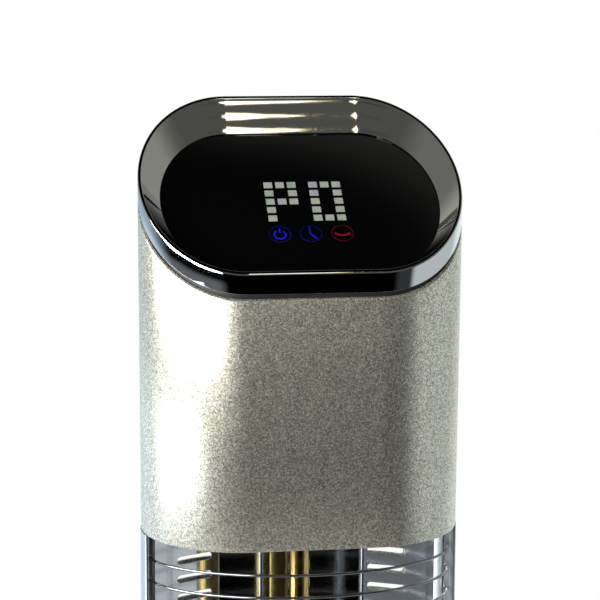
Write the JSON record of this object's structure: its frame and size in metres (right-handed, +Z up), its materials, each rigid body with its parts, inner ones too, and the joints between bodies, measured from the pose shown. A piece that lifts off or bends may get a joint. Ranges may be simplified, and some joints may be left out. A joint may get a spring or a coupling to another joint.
{
  "type": "infrared tower heater",
  "caption": "Free-standing oval infrared tower heater: gold quartz lamp behind a wire guard, silver head with slanted chrome-framed touch display, swinging on an oval base.",
  "frame": {"origin": "on the floor, at the centre of the oval base and under the tower's pivot", "axes": "+Z up along the tower, -Y out of the heated front, +X to the right seen from the front"},
  "size_m": [0.3, 0.22, 0.8784],
  "materials": {
    "silver_paint": "satin speckled metallic silver",
    "base_silver": "satin metallic silver",
    "post_aluminium": "satin anodised",
    "chrome_bezel": "mirror chrome",
    "chrome_wire": "bright chrome",
    "mirror_sheet": "polished mirror",
    "black_glass": "gloss black",
    "led_white": "matte",
    "black_plastic": "fine matte",
    "rocker_black": "gloss",
    "steel": "zinc plated",
    "black_steel": "black powder coat",
    "rubber": "matte",
    "nylon": "matte",
    "gold_quartz": "gold coated quartz",
    "ceramic": "unglazed",
    "circuit_board": "solder mask"
  },
  "bodies": {
    "base": {"base_cover": "base_silver", "base_plate": "black_steel", "base_weight": "steel", "foot_1": "rubber", "foot_2": "rubber", "foot_3": "rubber", "foot_4": "rubber", "base_screw_1": "steel", "base_screw_2": "steel", "base_screw_3": "steel", "base_screw_4": "steel", "cord_grommet": "rubber", "tip_switch": "black_plastic", "tip_spring": "steel", "pivot_post": "steel", "glide_ring": "nylon", "thrust_washer": "steel", "fixed_gear": "nylon", "retaining_nut": "steel"},
    "tower": {"turntable": "steel", "swing_motor": "steel", "motor_screw_1": "steel", "motor_screw_2": "steel", "lower_housing": "silver_paint", "lower_bulkhead": "steel", "switch_body": "black_plastic", "terminal_block": "nylon", "side_post_right": "post_aluminium", "side_post_left": "post_aluminium", "reflector": "mirror_sheet", "rear_cover": "silver_paint", "cover_screw_1": "steel", "cover_screw_2": "steel", "cover_screw_3": "steel", "cover_screw_4": "steel", "wire_guard": "chrome_wire", "lamp_tube": "gold_quartz", "lamp_cap_top": "ceramic", "lamp_cap_bottom": "ceramic", "lamp_bracket_top": "steel", "lamp_bracket_bottom": "steel", "head_casing": "silver_paint", "head_floor": "steel", "power_board": "circuit_board", "relay": "black_plastic", "transformer": "steel", "thermal_cutout": "black_plastic", "bezel": "chrome_bezel", "bezel_gasket": "black_plastic", "display_panel": "black_glass", "control_tray": "black_plastic", "led_module": "led_white", "display_board": "circuit_board"},
    "pinion": {"drive_pinion": "nylon"},
    "plunger": {"tip_plunger": "nylon"},
    "rocker_key": {"rocker": "rocker_black"}
  },
  "joints": [
    {"name": "tower_swing", "type": "hinge", "parent": "base", "child": "tower", "pos_m": [0, 0, 0.0476], "axis": [0, 0, 1], "range_deg": [-40, 40]},
    {"name": "pinion_spin", "type": "hinge", "parent": "tower", "child": "pinion", "pos_m": [0.04, 0, 0.0477], "axis": [0, 0, 1], "range_deg": [-121, 121]},
    {"name": "plunger_slide", "type": "slide", "parent": "base", "child": "plunger", "axis": [0, 0, -1], "range_m": [0, 0.005], "stiffness_N_per_m": 100, "springref_m": 0.008, "deforming": ["tip_spring"]},
    {"name": "rocker_tilt", "type": "hinge", "parent": "tower", "child": "rocker_key", "pos_m": [0, 0.0575, 0.092], "axis": [-1, 0, 0], "range_deg": [0, 20]}
  ],
  "couplings": [
    {"joint": "pinion_spin", "follows": "tower_swing", "ratio": 3}
  ]
}
